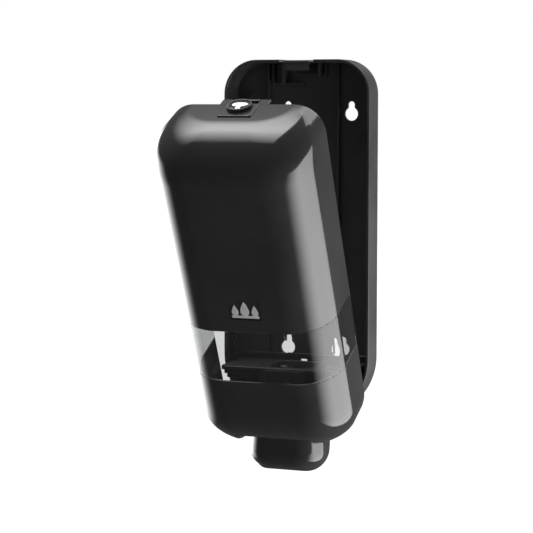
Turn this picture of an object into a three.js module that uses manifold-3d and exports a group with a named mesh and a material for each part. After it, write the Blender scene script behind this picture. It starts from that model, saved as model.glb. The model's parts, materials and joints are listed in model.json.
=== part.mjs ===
// Wall mounted soap dispenser, cover tilted open. Millimetres, +Z up, wall plane at y = 0, front towards -Y.
// Origin: on the wall face of the back plate, midway between its sides and at half its height.
import * as THREE from 'three';
import { mergeVertices } from 'three/addons/utils/BufferGeometryUtils.js';
import Module from 'manifold-3d';

const wasm = await Module();
wasm.setup();

// ---------------------------------------------------------------- driving dimensions
const width = 112;
const wall = 2.5;
const gap = 0.3; // between pieces that touch
const through = 60; // reach of a tool that cuts right through a wall

const plateHeight = 263;
const plateTop = plateHeight / 2;
const plateBottom = -plateHeight / 2;
const rimDepth = 21.7;
const plateTopRadius = 25;
const plateBottomRadius = 46;
const notchWidth = 26;
const notchDepth = 1.2;
const bottomGapHalf = 33.5; // the rim is left out here for the push bar and the hinge ears
const bottomGapTop = -112;
const ribX = 27; // the two long ribs on the plate's floor
const ribHeight = 3;
const ribBottom = -84;
const pocketDepth = 9; // the pocket at the top that the latch tooth reaches into
const pocketBottom = 113.5;
const pocketRightBottom = 120;
const lowRib = 4;
const ledgeTop = -85.6;
const lug = { inner: 33.6, outer: 36.6, front: -14, bottom: -126 }; // they hold the hinge pins
const keyholeHeadRadius = 5;
const keyholeSlotRadius = 2.5;
const keyholeRise = 6.7;
const drainSlot = { left: -3, right: 2.4, bottom: -97, top: -89.8 };
const keyholes = [[-12.9, 92.1], [36.2, 92.1], [-12.9, -81.3], [28.7, -81.3]]; // centres of the round heads

const hingeY = -9.3;
const hingeZ = -121.5;
const openAngle = 25; // degrees the cover is tipped forward
const pinRadius = 1.5;
const pinMiddle = 32.8;
const pinLength = 6.8;
const earInner = 29.6;
const earOuter = 33;
const earRadius = 6;

const cover = { top: 128.6, bottom: -129.5, rear: -22.2, frontTop: -81.5, frontBottom: -78.7,
  topRadius: 20, bottomRadius: 31, planRadius: 30, topFrontRadius: 34, bottomFrontRadius: 40 };
const coverFront = (z) =>
  THREE.MathUtils.mapLinear(z, cover.bottom, cover.top, cover.frontBottom, cover.frontTop);
const bandTop = -16.5;
const bandBottom = -58.5;
const lipY = -74; // front end of the opening in the chin for the push bar
const chinGapHalf = 29.5;

const lockY = -29.5;
const barrelRadius = 7;
const ringRadius = 8.7;
const latchTravelTop = 122; // roof of the latch channel
const catchFront = -19.5; // the latch tooth hooks behind the catch bar
const catchRear = -17;
const catchBottom = 123.5;
const catchHalf = 9;
const boss = { x: 12, y: -38.5, radius: 2.6 }; // the lock housing's screws run up into these
const housing = { half: 15, front: -43.5, bottom: 108 };
const latchArm = { bottom: 118, top: 121.5, half: 7, front: -41, tooth: -12.5, toothTop: 127.8 };
const badgeFront = coverFront(0);

const shelfTop = -91;
const shelfFront = -46;
const shelfHalf = 50;
const shelfStep = 3; // each step below the deck drops by this
const neckHalf = 16.5;
const shelfScrewX = 21.5;
const shelfScrewRadius = 1.3;

const bar = { top: -92, bottom: -166.5, halfTop: 25, halfBottom: 28.4, frontTop: -50.5, frontBottom: -55.3,
  rear: -21, rearRise: 32, rearReach: 17, frontRadius: 15, sideRise: 14, sideReach: 11,
  cornerRadius: 17, wall: 2.2 };
const pivotY = -38;
const pivotZ = -104;
const rodRadius = 2;
const pivotRodHalf = 24.4;
const pivotBoss = { x: 22.5, radius: 3.6, half: 2.1 };
const liftArm = { inner: 17, outer: 26, front: -27, rear: -21.2, bottom: -130.5, top: -127.5 };
const nozzle = { radius: 8, y: -33 };

const postX = 13;
const postY = -10;
const postRadius = 2;
const postTop = -95;
const postBottom = -133;
const springTop = -98.4;
const yokeTop = -123;
const yoke = { half: 21, front: -38, rear: -6.6, thickness: 3, forkHalf: 9, collarRadius: 4.2 };

// ---------------------------------------------------------------- materials
const plastic = (color, roughness) => new THREE.MeshStandardMaterial({ color, roughness, metalness: 0 });
const steel = () => new THREE.MeshStandardMaterial({ color: 0xb8babd, roughness: 0.35, metalness: 1 });
const glossBlack = () => plastic(0x141415, 0.18);
const satinBlack = () => plastic(0x1a1a1b, 0.4);

// ---------------------------------------------------------------- solids
function solid(geometry) {
  const bare = geometry.index ? geometry.clone() : geometry;
  bare.deleteAttribute('normal');
  bare.deleteAttribute('uv');
  const merged = mergeVertices(bare, 1e-4);
  const mesh = new wasm.Mesh({ numProp: 3,
    vertProperties: new Float32Array(merged.attributes.position.array),
    triVerts: new Uint32Array(merged.index.array) });
  return new wasm.Manifold(mesh);
}

function geometryOf(manifold) {
  const mesh = manifold.getMesh();
  const geometry = new THREE.BufferGeometry();
  geometry.setAttribute('position', new THREE.BufferAttribute(new Float32Array(mesh.vertProperties), 3));
  geometry.setIndex(new THREE.BufferAttribute(new Uint32Array(mesh.triVerts), 1));
  geometry.computeVertexNormals();
  return geometry;
}

const joined = (...pieces) => pieces.reduce((whole, piece) => whole.add(piece));
const cut = (body, ...tools) => tools.reduce((whole, tool) => whole.subtract(tool), body);

function block(x0, x1, y0, y1, z0, z1) {
  const geometry = new THREE.BoxGeometry(x1 - x0, y1 - y0, z1 - z0);
  geometry.translate((x0 + x1) / 2, (y0 + y1) / 2, (z0 + z1) / 2);
  return solid(geometry);
}

// The same block on the left (side -1) or the right (side 1), from `near` to `far` of the middle plane.
const sideBlock = (side, near, far, ...rest) =>
  block(Math.min(side * near, side * far), Math.max(side * near, side * far), ...rest);

const extruded = (shape, depth, curveSegments = 12) =>
  new THREE.ExtrudeGeometry(shape, { depth, bevelEnabled: false, curveSegments });

// Outline in X and Z, swept along Y.
function frontal(shape, yRear, yFront, curveSegments) {
  const geometry = extruded(shape, yRear - yFront, curveSegments);
  geometry.rotateX(Math.PI / 2);
  geometry.translate(0, yRear, 0);
  return solid(geometry);
}

// Outline in X and Y, swept along Z.
function level(shape, z0, z1, curveSegments) {
  const geometry = extruded(shape, z1 - z0, curveSegments);
  geometry.translate(0, 0, z0);
  return solid(geometry);
}

// Outline in Y and Z, swept along X.
function sideways(shape, x0, x1, curveSegments) {
  const geometry = extruded(shape, x1 - x0, curveSegments);
  const turn = new THREE.Matrix4().makeBasis(
    new THREE.Vector3(0, 1, 0), new THREE.Vector3(0, 0, 1), new THREE.Vector3(1, 0, 0));
  geometry.applyMatrix4(turn);
  geometry.translate(x0, 0, 0);
  return solid(geometry);
}

function rod(radius, x, y, z0, z1, sides = 24) {
  const geometry = new THREE.CylinderGeometry(radius, radius, z1 - z0, sides);
  geometry.rotateX(Math.PI / 2);
  geometry.translate(x, y, (z0 + z1) / 2);
  return solid(geometry);
}

function crossRod(radius, y, z, x0, x1, sides = 24) {
  const geometry = new THREE.CylinderGeometry(radius, radius, x1 - x0, sides);
  geometry.rotateZ(Math.PI / 2);
  geometry.translate((x0 + x1) / 2, y, z);
  return solid(geometry);
}

function depthRod(radius, x, z, yRear, yFront, sides = 24) {
  const geometry = new THREE.CylinderGeometry(radius, radius, yRear - yFront, sides);
  geometry.translate(x, (yRear + yFront) / 2, z);
  return solid(geometry);
}

function polygon(points) {
  return new THREE.Shape(points.map(([a, b]) => new THREE.Vector2(a, b)));
}

function disc(a, b, radius) {
  const shape = new THREE.Shape();
  shape.absarc(a, b, radius, 0, 2 * Math.PI);
  return shape;
}

// Rectangle with its own corner radius at the top and at the bottom.
function panel(half, bottom, top, bottomRadius, topRadius) {
  const shape = new THREE.Shape();
  shape.moveTo(half, bottom + bottomRadius);
  shape.lineTo(half, top - topRadius);
  shape.absarc(half - topRadius, top - topRadius, topRadius, 0, Math.PI / 2);
  shape.absarc(-half + topRadius, top - topRadius, topRadius, Math.PI / 2, Math.PI);
  shape.absarc(-half + bottomRadius, bottom + bottomRadius, bottomRadius, Math.PI, 1.5 * Math.PI);
  shape.absarc(half - bottomRadius, bottom + bottomRadius, bottomRadius, 1.5 * Math.PI, 2 * Math.PI);
  return shape;
}

// Closed skin through a stack of level outlines that all have the same number of points.
function loft(rings) {
  const count = rings[0].length;
  const points = rings.flat();
  const index = [];
  for (let row = 0; row < rings.length - 1; row += 1) {
    for (let i = 0; i < count; i += 1) {
      const next = (i + 1) % count;
      const a = row * count + i;
      const b = row * count + next;
      index.push(a, b, b + count, a, b + count, a + count);
    }
  }
  const lids = [[0, -1], [rings.length - 1, 1]];
  lids.forEach(([row, side]) => {
    const ring = rings[row];
    const faces = THREE.ShapeUtils.triangulateShape(ring.map((p) => new THREE.Vector2(p.x, p.y)), []);
    faces.forEach(([a, b, c]) => {
      const base = row * count;
      if (side > 0) index.push(base + a, base + b, base + c);
      else index.push(base + a, base + c, base + b);
    });
  });
  const geometry = new THREE.BufferGeometry().setFromPoints(points);
  geometry.setIndex(index);
  return solid(geometry);
}

// Level outline with a straight rear edge and round front corners. Runs anticlockwise from above.
function hood(z, half, rear, front, radius, steps = 8) {
  const points = [new THREE.Vector3(half, rear, z), new THREE.Vector3(-half, rear, z)];
  for (let i = 0; i <= steps; i += 1) {
    const angle = Math.PI + (i / steps) * Math.PI / 2;
    points.push(new THREE.Vector3(
      -half + radius + radius * Math.cos(angle), front + radius + radius * Math.sin(angle), z));
  }
  for (let i = 0; i <= steps; i += 1) {
    const angle = 1.5 * Math.PI + (i / steps) * Math.PI / 2;
    points.push(new THREE.Vector3(
      half - radius + radius * Math.cos(angle), front + radius + radius * Math.sin(angle), z));
  }
  return points;
}

// How far a rounded edge has drawn in, `past` the place where its quarter ellipse starts.
const rounding = (rise, past, reach = rise) =>
  (past > 0 ? reach * (1 - Math.sqrt(Math.max(1 - (past / rise) ** 2, 0))) : 0);

function heights(bottom, top, bottomRadius, topRadius, steps = 9) {
  const list = [];
  for (let i = 0; i <= steps; i += 1) {
    list.push(bottom + bottomRadius * (1 - Math.cos((i / steps) * Math.PI / 2)));
  }
  for (let i = steps; i >= 0; i -= 1) {
    list.push(top - topRadius * (1 - Math.cos((i / steps) * Math.PI / 2)));
  }
  return list;
}

// The cover's body without its opening: `inset` moves every wall inwards, `rear` is the rear plane.
function coverBody(inset, rear) {
  const top = cover.top - inset;
  const bottom = cover.bottom + inset;
  const topRadius = cover.topRadius - inset;
  const bottomRadius = cover.bottomRadius - inset;
  const topFront = cover.topFrontRadius - inset;
  const bottomFront = cover.bottomFrontRadius - inset;
  const rings = heights(bottom, top, bottomFront, topFront).map((z) => {
    const half = width / 2 - inset - rounding(topRadius, z - top + topRadius)
      - rounding(bottomRadius, bottom + bottomRadius - z);
    const front = coverFront(z) + inset + rounding(topFront, z - top + topFront)
      + rounding(bottomFront, bottom + bottomFront - z);
    const radius = Math.min(cover.planRadius - inset, half * 0.9, (cover.rear - front) * 0.9);
    return hood(z, half, rear, front, radius);
  });
  return loft(rings);
}

// ---------------------------------------------------------------- wall unit
function backPlate() {
  const outer = panel(width / 2, plateBottom, plateTop, plateBottomRadius, plateTopRadius);
  const inner = panel(width / 2 - wall, plateBottom + wall, plateTop - wall,
    plateBottomRadius - wall, plateTopRadius - wall);
  const tray = cut(frontal(outer, 0, -rimDepth, 16), frontal(inner, -wall, -through, 16));
  const footOpening =
    block(-bottomGapHalf, bottomGapHalf, -through, -wall, plateBottom - 1, bottomGapTop);
  const notchHalf = notchWidth / 2;
  const topNotch = block(-notchHalf, notchHalf, -through, -wall - lowRib,
    plateTop - notchDepth, plateTop + 1);
  const ringRoomHalf = ringRadius + 1.3;
  const ringRoom = block(-ringRoomHalf, ringRoomHalf, -through, lockY + ringRadius + 0.8,
    plateTop - wall - 1, plateTop + 1);
  const upright = (x, thickness, height, bottom) =>
    block(x - thickness / 2, x + thickness / 2, -wall - height, -1, bottom, plateTop - 1);
  const ribs = [-ribX, ribX].map((x) => upright(x, 1.6, ribHeight, ribBottom));
  const pocket = [
    upright(-14, 2, pocketDepth, pocketBottom),
    upright(14, 2, pocketDepth, pocketRightBottom),
    upright(-23, 1.6, lowRib, pocketBottom + 1),
    upright(17.5, 1.4, lowRib, pocketRightBottom),
    block(-20, 0, -wall - lowRib, -1, pocketBottom, pocketBottom + 1.5),
  ];
  const catchBar = block(-catchHalf, catchHalf, catchFront, catchRear, catchBottom, plateTop - 1.5);
  const ledge = block(-shelfHalf, shelfHalf, -wall - 1.5, -1, ledgeTop - 1.4, ledgeTop);
  const lugs = [-1, 1].map((side) =>
    sideBlock(side, lug.inner, lug.outer, lug.front, -1, lug.bottom, bottomGapTop));
  const [holeRear, holeFront] = [1, -wall - 1.5];
  const holes = keyholes.flatMap(([x, z]) => [
    depthRod(keyholeHeadRadius, x, z, holeRear, holeFront),
    depthRod(keyholeSlotRadius, x, z + keyholeRise, holeRear, holeFront),
    block(x - keyholeSlotRadius, x + keyholeSlotRadius, holeFront, holeRear, z, z + keyholeRise),
  ]);
  const slot = block(drainSlot.left, drainSlot.right, holeFront, holeRear, drainSlot.bottom, drainSlot.top);
  const bores = crossRod(pinRadius + gap, hingeY, hingeZ, -through, through);
  const screwBores = screwPlaces().map(([x, z]) =>
    depthRod(shelfScrewRadius + gap, x, z, holeRear, holeFront, 12));
  const tools = [footOpening, topNotch, ringRoom];
  const body = joined(cut(tray, ...tools), ...ribs, ...pocket, catchBar, ledge, ...lugs);
  return cut(body, ...holes, slot, bores, ...screwBores);
}

function screwPlaces() {
  return [-103, -113].flatMap((z) => [[-shelfScrewX, z], [shelfScrewX, z]]);
}

function bottleShelf() {
  const outline = (half, front, radius) => {
    const shape = new THREE.Shape();
    shape.moveTo(half, -wall - gap);
    shape.lineTo(-half, -wall - gap);
    shape.lineTo(-half, front + radius);
    shape.absarc(-half + radius, front + radius, radius, Math.PI, 1.5 * Math.PI);
    shape.absarc(half - radius, front + radius, radius, 1.5 * Math.PI, 2 * Math.PI);
    return shape;
  };
  const deck = level(outline(shelfHalf, shelfFront, 5), shelfTop - shelfStep, shelfTop, 6);
  const steps = [1, 2].map((row) => {
    const inset = row * shelfStep / 2;
    const top = shelfTop - shelfStep * row + 1;
    return cut(
      level(outline(shelfHalf - inset, shelfFront + inset, 5), top - shelfStep - 1, top, 6),
      level(outline(shelfHalf - inset - wall, shelfFront + inset + wall, 4), -120, shelfTop - 1, 6));
  });
  const flange = block(-25.5, 25.5, -wall - gap - wall, -wall - gap, -118, shelfTop - 1);
  const lugs = [-1, 1].map((side) =>
    sideBlock(side, 17, 20, pivotY - 4, pivotY + 5, pivotZ - 5, shelfTop - 1));
  const tabs = [-1, 1].map((side) => sideBlock(side, 8, 18, -16, -5, -98, -95.5));
  const neck = level(panel(neckHalf, -41, -7, 14, 6), -110, shelfTop + 1, 8);
  const body = joined(cut(joined(deck, ...steps), neck), flange, ...lugs, ...tabs);
  const rodBore = crossRod(rodRadius + gap, pivotY, pivotZ, -30, 30);
  const postBores = [-1, 1].map((side) => rod(postRadius + gap, side * postX, postY, -99, -95));
  const screwBores = screwPlaces().map(([x, z]) => depthRod(shelfScrewRadius + 2 * gap, x, z, -2, -7, 12));
  return cut(body, rodBore, ...postBores, ...screwBores);
}

function shelfScrew(x, z) {
  const shank = depthRod(shelfScrewRadius, x, z, -0.4, -5.8, 12);
  const head = depthRod(3, x, z, -5.6, -7.6, 16);
  const drive = joined(block(x - 2, x + 2, -8, -6.6, z - 0.4, z + 0.4),
    block(x - 0.4, x + 0.4, -8, -6.6, z - 2, z + 2));
  return cut(joined(shank, head), drive);
}

const hingePin = (side) => crossRod(pinRadius, hingeY, hingeZ,
  side * pinMiddle - pinLength / 2, side * pinMiddle + pinLength / 2);

function guidePost(side) {
  const stem = rod(postRadius, side * postX, postY, postBottom, postTop);
  const head = rod(3.2, side * postX, postY, postTop - 0.2, postTop + 0.8);
  return joined(stem, head);
}

// ---------------------------------------------------------------- springs
function coilSpring(radius, wire, z0, z1, turns, x, y) {
  class Helix extends THREE.Curve {
    getPoint(t, target = new THREE.Vector3()) {
      const angle = t * turns * 2 * Math.PI;
      return target.set(x + radius * Math.cos(angle), y + radius * Math.sin(angle),
        z0 + wire + (z1 - z0 - 2 * wire) * t);
    }
  }
  const section = disc(0, 0, wire);
  const geometry = new THREE.ExtrudeGeometry(section, {
    steps: turns * 12, extrudePath: new Helix(), bevelEnabled: false, curveSegments: 3 });
  return solid(geometry);
}

// ---------------------------------------------------------------- cover
const shellBlank = cut(coverBody(0, cover.rear), coverBody(wall, cover.rear + 10));
const slice = (body, z0, z1) => body.intersect(block(-80, 80, -120, 20, z0, z1));

function badgeOutline() {
  const drop = (x, z, r) => {
    const shape = new THREE.Shape();
    shape.moveTo(x, z + 2.5 * r);
    shape.quadraticCurveTo(x - r, z + 0.9 * r, x - r, z);
    shape.absarc(x, z, r, Math.PI, 2 * Math.PI);
    shape.quadraticCurveTo(x + r, z + 0.9 * r, x, z + 2.5 * r);
    return shape;
  };
  return [drop(0, 0, 3.2), drop(-7.2, -0.8, 2.4), drop(7.2, -0.8, 2.4), panel(10, -5, -2.9, 1, 1)];
}

function badge(yRear, yFront) {
  return joined(...badgeOutline().map((shape) => frontal(shape, yRear, yFront, 8)));
}

function coverShell() {
  const shell = slice(shellBlank, bandTop + gap / 2, 140);
  const lockHole = rod(ringRadius + gap, 0, lockY, 120, 140, 32);
  const bosses = [-1, 1].map((side) =>
    rod(boss.radius, side * boss.x, boss.y, cover.top - 6, cover.top - 1, 16));
  const pocket = frontal(panel(11.5, -6.4, 9.4, 1.5, 1.5), badgeFront + 0.7, badgeFront - 5, 6);
  const screwBores = [-1, 1].map((side) =>
    rod(1.2, side * boss.x, boss.y, cover.top - 8, cover.top - 1.5, 12));
  const tongues = [-1, 1].map((side) => sideBlock(side, 9.6, 17.5, cover.rear - 1, -14, 126.4, 128.2));
  return cut(joined(shell, ...bosses, ...tongues), lockHole, pocket, ...screwBores);
}

const windowBand = () => slice(shellBlank, bandBottom + gap / 2, bandTop - gap / 2);

function coverChin() {
  const chin = slice(shellBlank, -140, bandBottom - gap / 2);
  const foot = block(-chinGapHalf, chinGapHalf, lipY, 0, -140, -100);
  const stiffeners = [-1, 1].map((side) => sideBlock(side, earInner, earOuter, -62, cover.rear, -131, -114));
  const inside = coverBody(1, cover.rear + 0.2);
  const webs = joined(...stiffeners).intersect(inside);
  const arm = polygon([[hingeY, hingeZ + earRadius], [-26, hingeZ + earRadius], [-34, -120], [-32, -127.4],
    [cover.rear - 0.1, -127.4], [hingeY, hingeZ - earRadius]]);
  const ears = [-earOuter, earInner].map((x0) => {
    const x1 = x0 + earOuter - earInner;
    return joined(sideways(arm, x0, x1), crossRod(earRadius, hingeY, hingeZ, x0, x1));
  });
  const bores = crossRod(pinRadius + gap, hingeY, hingeZ, -40, 40);
  return cut(joined(cut(chin, foot), webs, ...ears), bores);
}

function lockRing() {
  const bore = barrelRadius + gap;
  const profile = [[bore, 0], [ringRadius, 0], [ringRadius, 5], [8.3, 5.8], [bore + 0.4, 5.8], [bore, 5.4],
    [bore, 0]];
  const geometry = new THREE.LatheGeometry(profile.map(([r, h]) => new THREE.Vector2(r, h)), 40);
  geometry.rotateX(Math.PI / 2);
  geometry.translate(0, lockY, cover.top - wall);
  return solid(geometry);
}

function lockHousing() {
  const roof = cover.top - wall - gap;
  const body = block(-housing.half, housing.half, housing.front, cover.rear - gap,
    housing.bottom, roof - 0.1);
  const channelHalf = latchArm.half + 0.4;
  const channel = block(-channelHalf, channelHalf, latchArm.front - 0.5, cover.rear + 2,
    housing.bottom + 2, latchTravelTop);
  const bore = rod(barrelRadius + gap, 0, lockY, latchTravelTop - 1, 130, 32);
  const bossRoom = [-1, 1].map((side) => 
    rod(boss.radius + gap, side * boss.x, boss.y, cover.top - 6 - gap, 130, 16));
  const screwBores = [-1, 1].map((side) =>
    rod(1.6, side * boss.x, boss.y, housing.bottom - 1, 124, 12));
  return cut(body, channel, bore, ...bossRoom, ...screwBores);
}

function housingScrew(side) {
  const headTop = housing.bottom - gap;
  const shank = rod(1, side * boss.x, boss.y, headTop - 0.7, cover.top - 2.2, 12);
  const head = rod(2.4, side * boss.x, boss.y, headTop - 1.8, headTop, 16);
  return joined(shank, head);
}

function lockBarrel() {
  const body = rod(barrelRadius, 0, lockY, latchTravelTop + 0.3, cover.top + 2.6, 32);
  const seat = rod(barrelRadius - 0.6, 0, lockY, cover.top + 1.4, cover.top + 4, 32);
  return cut(body, seat);
}

function keyInsert() {
  const z0 = cover.top + 1.7;
  const z1 = z0 + 0.8;
  const oval = new THREE.Shape();
  oval.absellipse(0, lockY + 1.4, 5.8, 3.4, 0, 2 * Math.PI);
  const stem = polygon([[-1.6, lockY], [-1.9, lockY - 5.4], [1.9, lockY - 5.4], [1.6, lockY]]);
  return joined(level(oval, z0, z1, 16), level(stem, z0, z1));
}

function latchSlide() {
  const { bottom, top, half, front, tooth: rear, toothTop } = latchArm;
  const arm = block(-half, half, front, rear, bottom, top);
  const hook = polygon([[rear - 3, bottom], [rear, bottom], [rear, toothTop - 1.8], [rear - 1, toothTop],
    [rear - 3, toothTop]]);
  const tooth = sideways(hook, -catchHalf, catchHalf);
  const seat = rod(2, 0, lockY, bottom - 1.4, bottom + 1, 12);
  return joined(arm, tooth, seat);
}

// ---------------------------------------------------------------- push bar and pump lifter
function barBody(inset, extra) {
  const top = bar.top + extra;
  const bottom = bar.bottom + inset;
  const rings = heights(bottom, top, bar.rearRise - inset, 0.5, 9).map((z) => {
    const share = (bar.top - z) / (bar.top - bar.bottom);
    const flare = (from, to) => from + (to - from) * Math.min(Math.max(share, 0), 1);
    const half = flare(bar.halfTop, bar.halfBottom) - inset
      - rounding(bar.sideRise - inset, bottom + bar.sideRise - inset - z, bar.sideReach - inset);
    const front = flare(bar.frontTop, bar.frontBottom) + inset
      + rounding(bar.frontRadius - inset, bottom + bar.frontRadius - inset - z);
    const rear = (inset ? bar.rear + 8 : bar.rear)
      - rounding(bar.rearRise - inset, bottom + bar.rearRise - inset - z, bar.rearReach - inset);
    const radius = Math.min(bar.cornerRadius - inset, half * 0.9, (rear - front) * 0.9);
    return hood(z, half, rear, front, radius, 5);
  });
  return loft(rings);
}

function pushBar() {
  const shell = cut(barBody(0, 0), barBody(bar.wall, 5));
  // Room for the shelf and its steps, also when the bar is pressed.
  const shelfRoom = sideways(polygon([[shelfFront - 1.9, shelfTop + 1], [0, shelfTop + 1], [0, -113],
    [-22, -112], [-42, -103.5], [shelfFront - 1.9, -103.5]]), -through, through);
  const nozzleHole = rod(nozzle.radius, 0, nozzle.y, bar.bottom - 10, bar.bottom + 15, 24);
  const arms = [-1, 1].map((side) => sideBlock(side, liftArm.inner, liftArm.outer,
    liftArm.front, liftArm.rear, liftArm.bottom, liftArm.top));
  const bosses = [-pivotBoss.x, pivotBoss.x].map((x) =>
    crossRod(pivotBoss.radius, pivotY, pivotZ, x - pivotBoss.half, x + pivotBoss.half));
  const body = joined(cut(shell, shelfRoom), ...arms, ...bosses);
  return cut(body, nozzleHole, crossRod(rodRadius + gap, pivotY, pivotZ, -through, through));
}

const pivotRod = () => crossRod(rodRadius, pivotY, pivotZ, -pivotRodHalf, pivotRodHalf);

function pumpYoke() {
  const plate = block(-yoke.half, yoke.half, yoke.front, yoke.rear, yokeTop - yoke.thickness, yokeTop);
  const fork = level(panel(yoke.forkHalf, -through, -13, 1, yoke.forkHalf - 0.1),
    yokeTop - 10, yokeTop + 10, 10);
  const collar = [-1, 1].map((side) =>
    rod(yoke.collarRadius, side * postX, postY, yokeTop - 2 * yoke.thickness, yokeTop - 1, 20));
  const bores = [-1, 1].map((side) => rod(postRadius + gap, side * postX, postY, -140, -100));
  return cut(joined(cut(plate, fork), ...collar), ...bores);
}

// ---------------------------------------------------------------- assembly
function piece(name, manifold, material) {
  const mesh = new THREE.Mesh(geometryOf(manifold), material);
  mesh.name = name;
  return mesh;
}

const wallUnit = new THREE.Group();
wallUnit.add(
  piece('back_plate', backPlate(), satinBlack()),
  piece('bottle_shelf', bottleShelf(), satinBlack()),
  piece('pivot_rod', pivotRod(), steel()),
);
screwPlaces().forEach(([x, z], i) => wallUnit.add(piece(`shelf_screw_${i + 1}`, shelfScrew(x, z), steel())));
[['left', -1], ['right', 1]].forEach(([hand, side]) => wallUnit.add(
  piece(`hinge_pin_${hand}`, hingePin(side), steel()),
  piece(`guide_post_${hand}`, guidePost(side), steel()),
  piece(`return_spring_${hand}`,
    coilSpring(3.5, 0.55, yokeTop + 0.4, springTop, 6, side * postX, postY), steel()),
));

// Everything on the cover is built with the cover shut, then tipped forward about the hinge.
const shut = new THREE.Group();
shut.position.set(0, -hingeY, -hingeZ);
shut.add(
  piece('cover_shell', coverShell(), glossBlack()),
  piece('window_band', windowBand(), new THREE.MeshStandardMaterial({
    color: 0xe8ebee, roughness: 0.06, metalness: 0, transparent: true, opacity: 0.3 })),
  piece('cover_chin', coverChin(), glossBlack()),
  piece('badge', badge(badgeFront + 0.4, badgeFront), plastic(0x77787a, 0.5)),
  piece('lock_ring', lockRing(), satinBlack()),
  piece('lock_housing', lockHousing(), satinBlack()),
  piece('housing_screw_left', housingScrew(-1), steel()),
  piece('housing_screw_right', housingScrew(1), steel()),
  piece('lock_barrel', lockBarrel(), satinBlack()),
  piece('key_insert', keyInsert(), plastic(0xf2f2f0, 0.4)),
  piece('latch_slide', latchSlide(), satinBlack()),
  piece('latch_spring', coilSpring(2.9, 0.4, 110.3, 117.7, 4, 0, lockY), steel()),
);
const tipped = new THREE.Group();
tipped.position.set(0, hingeY, hingeZ);
tipped.rotation.x = THREE.MathUtils.degToRad(openAngle);
tipped.add(shut);

const dispenser = new THREE.Group();
dispenser.add(
  wallUnit,
  tipped,
  piece('push_bar', pushBar(), glossBlack()),
  piece('pump_yoke', pumpYoke(), satinBlack()),
);

export default dispenser;
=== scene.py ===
"""Wall mounted soap dispenser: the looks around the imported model.

Lengths are in millimetres in the row frame: wall plane y = 0, +Z up, front towards -Y. They become metres
when a mesh is made. Pieces of the cover are shaped with the cover shut and then tipped about the hinge.
"""
import json
import math

import bmesh
import bpy
from mathutils import Matrix, Vector


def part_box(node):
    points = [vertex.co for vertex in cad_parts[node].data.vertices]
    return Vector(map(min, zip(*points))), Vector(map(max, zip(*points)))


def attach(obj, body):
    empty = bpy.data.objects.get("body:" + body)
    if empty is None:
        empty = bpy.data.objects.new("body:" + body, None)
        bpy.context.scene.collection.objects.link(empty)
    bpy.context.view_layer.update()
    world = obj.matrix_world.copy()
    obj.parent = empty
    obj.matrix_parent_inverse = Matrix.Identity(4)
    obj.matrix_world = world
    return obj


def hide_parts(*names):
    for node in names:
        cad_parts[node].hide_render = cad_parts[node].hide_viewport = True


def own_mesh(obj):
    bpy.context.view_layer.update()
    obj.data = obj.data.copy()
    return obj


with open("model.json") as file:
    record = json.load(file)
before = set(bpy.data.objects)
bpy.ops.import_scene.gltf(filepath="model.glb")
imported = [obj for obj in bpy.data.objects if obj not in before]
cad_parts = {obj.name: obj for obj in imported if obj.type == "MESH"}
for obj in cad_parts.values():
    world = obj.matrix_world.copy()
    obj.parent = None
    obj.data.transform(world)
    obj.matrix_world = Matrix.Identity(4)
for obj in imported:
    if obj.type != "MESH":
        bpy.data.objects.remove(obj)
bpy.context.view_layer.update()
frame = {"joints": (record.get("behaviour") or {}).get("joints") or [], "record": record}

MM = 0.001
JOINTS = {joint["name"]: joint for joint in frame["joints"]}
BODIES = frame["record"]["behaviour"]["bodies"]
SLOTS = {part["node"]: part["material_slot"] for part in frame["record"]["subparts"]}


def corners(node):
    """Lowest and highest corner of a CAD node, in millimetres."""
    low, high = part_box(node)
    return low / MM, high / MM


PLATE_LOW, PLATE_HIGH = corners("back_plate")
WIDTH = PLATE_HIGH.x - PLATE_LOW.x
HALF = WIDTH / 2
PLATE_TOP = PLATE_HIGH.z
RIM_DEPTH = -PLATE_LOW.y
WALL = 2.5
GAP = 0.3
TOUCH = 0.02  # half the hairline between the cover's three bands

HINGE = Vector(JOINTS["cover_hinge"]["pos_m"]) / MM
OPEN = math.radians(-JOINTS["cover_hinge"]["range_deg"][0])
PIN_RADIUS = 1.5
EAR_INNER, EAR_OUTER, EAR_RADIUS = 29.6, 33.0, 6.0

COVER_TOP, COVER_BOTTOM, COVER_REAR = 128.6, -129.5, -22.2
FRONT_TOP, FRONT_BOTTOM = -81.5, -78.7
TOP_RADIUS, BOTTOM_RADIUS, PLAN_RADIUS = 20.0, 31.0, 30.0
TOP_FRONT, BOTTOM_FRONT = 34.0, 40.0
BAND_TOP, BAND_BOTTOM = -16.5, -58.5
LIP_Y, CHIN_GAP_HALF = -74.0, 29.5
LOCK_Y, RING_RADIUS, BARREL_RADIUS = -29.5, 8.7, 7.0

PLATE_TOP_RADIUS, PLATE_BOTTOM_RADIUS = 25.0, 46.0
RIB_X, RIB_LOW = 27.0, -84.0
POCKET_LOW, POCKET_RIGHT_LOW = 113.5, 120.0
CATCH_HALF = 9.0
LUG_OUTER, LUG_FRONT, LUG_LOW, LUG_HIGH = 36.6, -14.0, -126.0, -112.0
DRAIN_SLOT = (-3.0, 2.4, -97.0, -89.8)
KEYHOLES = [(-12.9, 92.1), (36.2, 92.1), (-12.9, -81.3), (28.7, -81.3)]
FOOT_HALF, NOTCH_HALF, NOTCH_DEPTH = 33.5, 13.0, 1.2

SHELF_TOP, SHELF_FRONT, SHELF_HALF, SHELF_RADIUS = -91.0, -46.0, 50.0, 5.0
NECK_HALF = 16.5
SHELF_SCREW_X, SHELF_SCREW_HEIGHTS = 21.5, (-103.0, -113.0)
BOSS_X, BOSS_Y = 12.0, -38.5

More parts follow.
